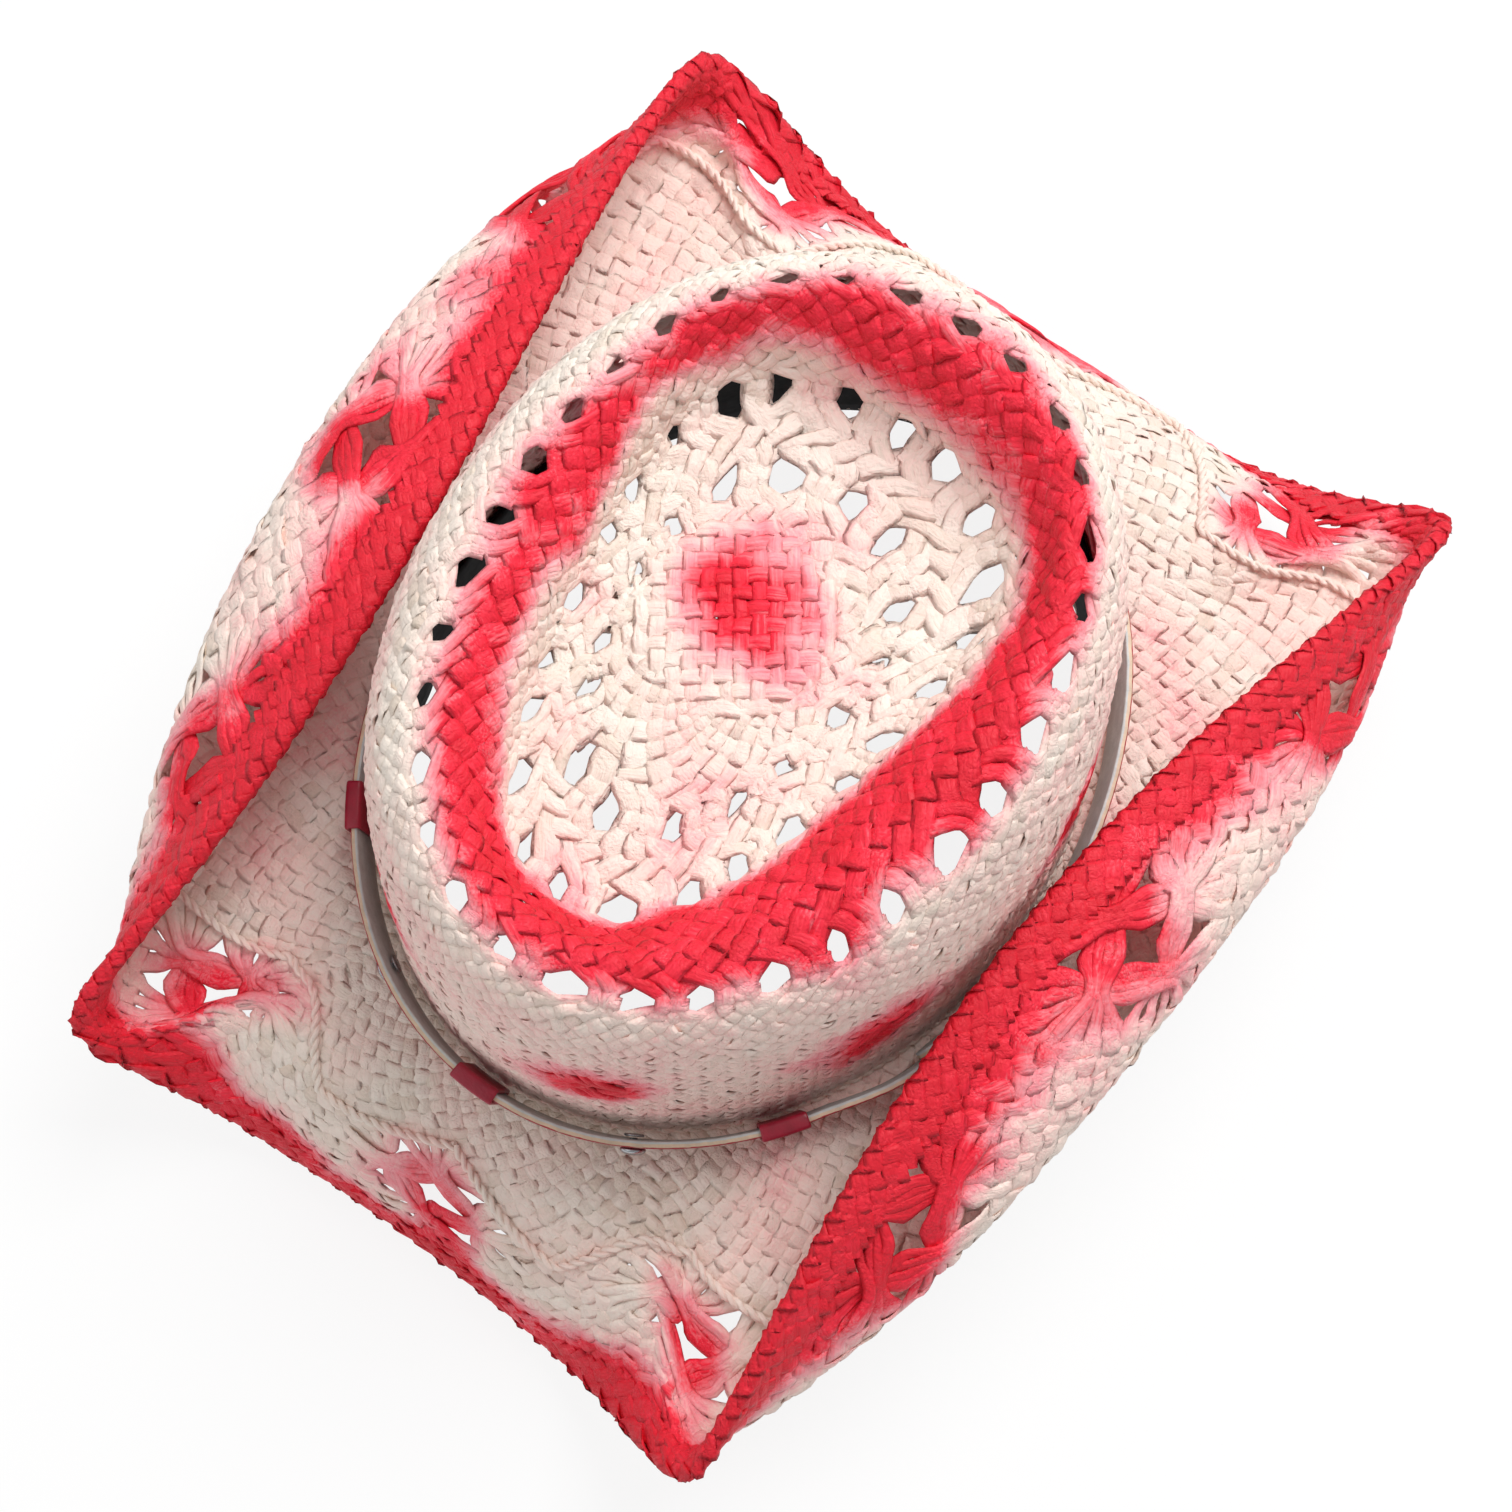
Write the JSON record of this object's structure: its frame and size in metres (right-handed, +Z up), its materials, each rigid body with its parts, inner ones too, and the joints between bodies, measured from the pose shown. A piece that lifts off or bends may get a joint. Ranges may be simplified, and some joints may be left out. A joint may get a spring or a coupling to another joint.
{
  "type": "western straw hat",
  "caption": "Openwork western hat of plaited straw with a teardrop crown, side-rolled wired brim, sweatband and a loose studded hat band.",
  "frame": {"origin": "on the surface the hat stands on, under the middle of its outline", "axes": "+Z up; +Y towards the back of the hat, -Y towards its front; +X towards the wearer's left"},
  "size_m": [0.2614, 0.3166, 0.1726],
  "materials": {
    "straw": "plaited cream raffia with sprayed red dye",
    "red_straw": "raffia dyed strong red",
    "black_cloth": "black woven tape",
    "red_leather": "crimson faux leather with a grey backing",
    "steel": "nickel-plated steel"
  },
  "bodies": {
    "hat": {"crown": "straw", "brim": "straw", "brim_hem": "red_straw", "brim_wire": "steel", "wire_joiner": "steel", "sweatband": "black_cloth"},
    "hat_band": {"hat_band_strap": "red_leather", "band_keeper_left": "red_leather", "band_keeper_front": "red_leather", "band_keeper_right": "red_leather", "band_stud_left": "steel", "band_stud_right": "steel", "stud_back_left": "steel", "stud_back_right": "steel", "strap_rivet": "steel"}
  },
  "joints": [
    {"name": "band_slide", "type": "slide", "parent": "hat", "child": "hat_band", "axis": [0, 0, 1], "range_m": [0, 0.02]}
  ]
}
